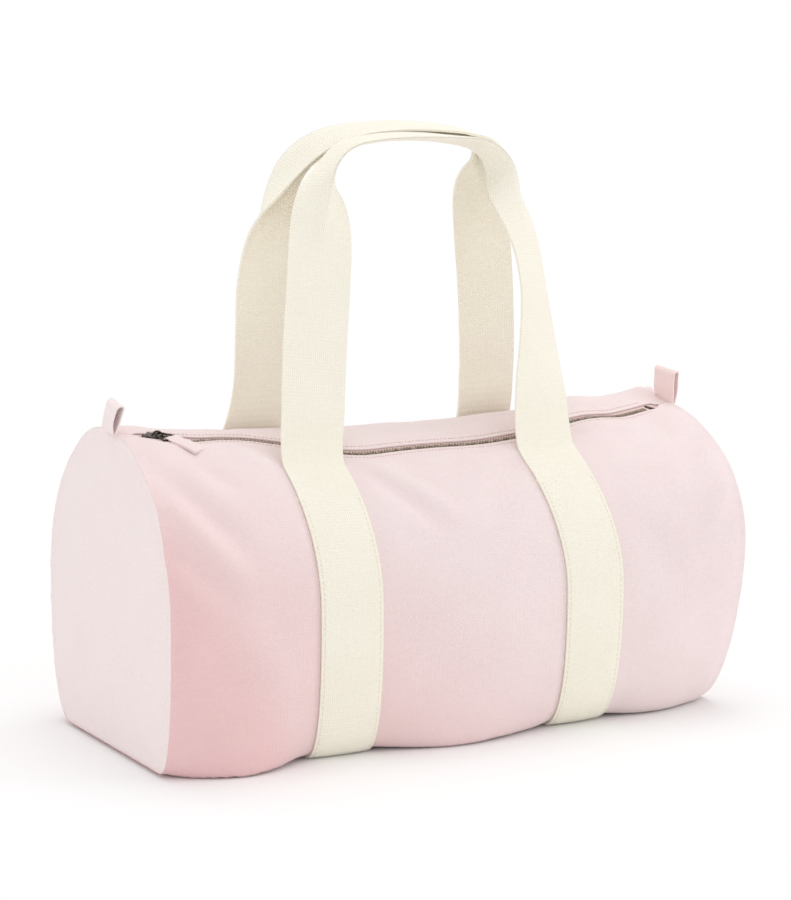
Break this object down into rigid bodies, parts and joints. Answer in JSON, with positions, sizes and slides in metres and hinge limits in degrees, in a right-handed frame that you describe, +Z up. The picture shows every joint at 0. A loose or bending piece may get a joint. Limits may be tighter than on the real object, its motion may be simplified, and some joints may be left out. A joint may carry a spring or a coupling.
{
  "type": "barrel bag",
  "caption": "Soft canvas barrel bag with a flat foot, a metal zip along the top, tab loops at its ends and webbing straps that run on into twin grab handles.",
  "frame": {"origin": "middle of the bag's footprint, on the floor", "axes": "+X along the barrel away from the closed slider, -Y to the front, +Z up"},
  "size_m": [0.506, 0.238, 0.4662],
  "materials": {
    "canvas": "matte woven cotton canvas",
    "end_canvas": "matte woven cotton canvas",
    "webbing": "matte twill cotton webbing",
    "binding_tape": "matte cotton tape",
    "zip_tape": "fine woven tape",
    "dark_metal": "darkened antique brass"
  },
  "bodies": {
    "bag": {"body_panel": "canvas", "left_end_panel": "end_canvas", "right_end_panel": "end_canvas", "left_seam_binding": "binding_tape", "right_seam_binding": "binding_tape", "left_strap": "webbing", "right_strap": "webbing", "front_zip_tape": "zip_tape", "back_zip_tape": "zip_tape", "front_zip_teeth": "dark_metal", "back_zip_teeth": "dark_metal", "zip_top_stops": "dark_metal", "zip_bottom_stop": "dark_metal"},
    "front_handle": {"front_handle": "webbing"},
    "back_handle": {"back_handle": "webbing"},
    "slider": {"zip_slider": "dark_metal"},
    "puller": {"zip_puller": "dark_metal"},
    "pull_tab": {"zip_pull_tab": "canvas"},
    "left_tab": {"left_tab_loop": "canvas"},
    "right_tab": {"right_tab_loop": "canvas"}
  },
  "joints": [
    {"name": "front_handle_swing", "type": "hinge", "parent": "bag", "child": "front_handle", "pos_m": [0, -0.062, 0.21444], "axis": [1, 0, 0], "range_deg": [0, 120]},
    {"name": "back_handle_swing", "type": "hinge", "parent": "bag", "child": "back_handle", "pos_m": [0, 0.058, 0.2254], "axis": [-1, 0, 0], "range_deg": [0, 120]},
    {"name": "zip_slide", "type": "hinge", "parent": "bag", "child": "slider", "pos_m": [0, 0.567, 0.56869], "axis": [0, -0.4996, 0.8663], "range_deg": [0, 35.07], "deforming": ["front_zip_tape", "back_zip_tape", "front_zip_teeth", "back_zip_teeth", "zip_pull_tab"]},
    {"name": "puller_swing", "type": "hinge", "parent": "slider", "child": "puller", "pos_m": [-0.21259, -0.01744, 0.23635], "axis": [-0.8137, -0.5785, -0.0568], "range_deg": [0, 95]},
    {"name": "pull_tab_swing", "type": "hinge", "parent": "puller", "child": "pull_tab", "pos_m": [-0.20583, -0.02665, 0.23339], "axis": [-0.8137, -0.5785, -0.0568], "range_deg": [0, 60]},
    {"name": "left_tab_flop", "type": "hinge", "parent": "bag", "child": "left_tab", "pos_m": [-0.245, -0.00319, 0.24032], "axis": [0, 0.978, 0.2086], "range_deg": [-75, 20], "stiffness_Nm_per_rad": 0.002},
    {"name": "right_tab_flop", "type": "hinge", "parent": "bag", "child": "right_tab", "pos_m": [0.245, -0.00319, 0.24032], "axis": [0, 0.978, 0.2086], "range_deg": [-20, 75], "stiffness_Nm_per_rad": 0.002}
  ]
}
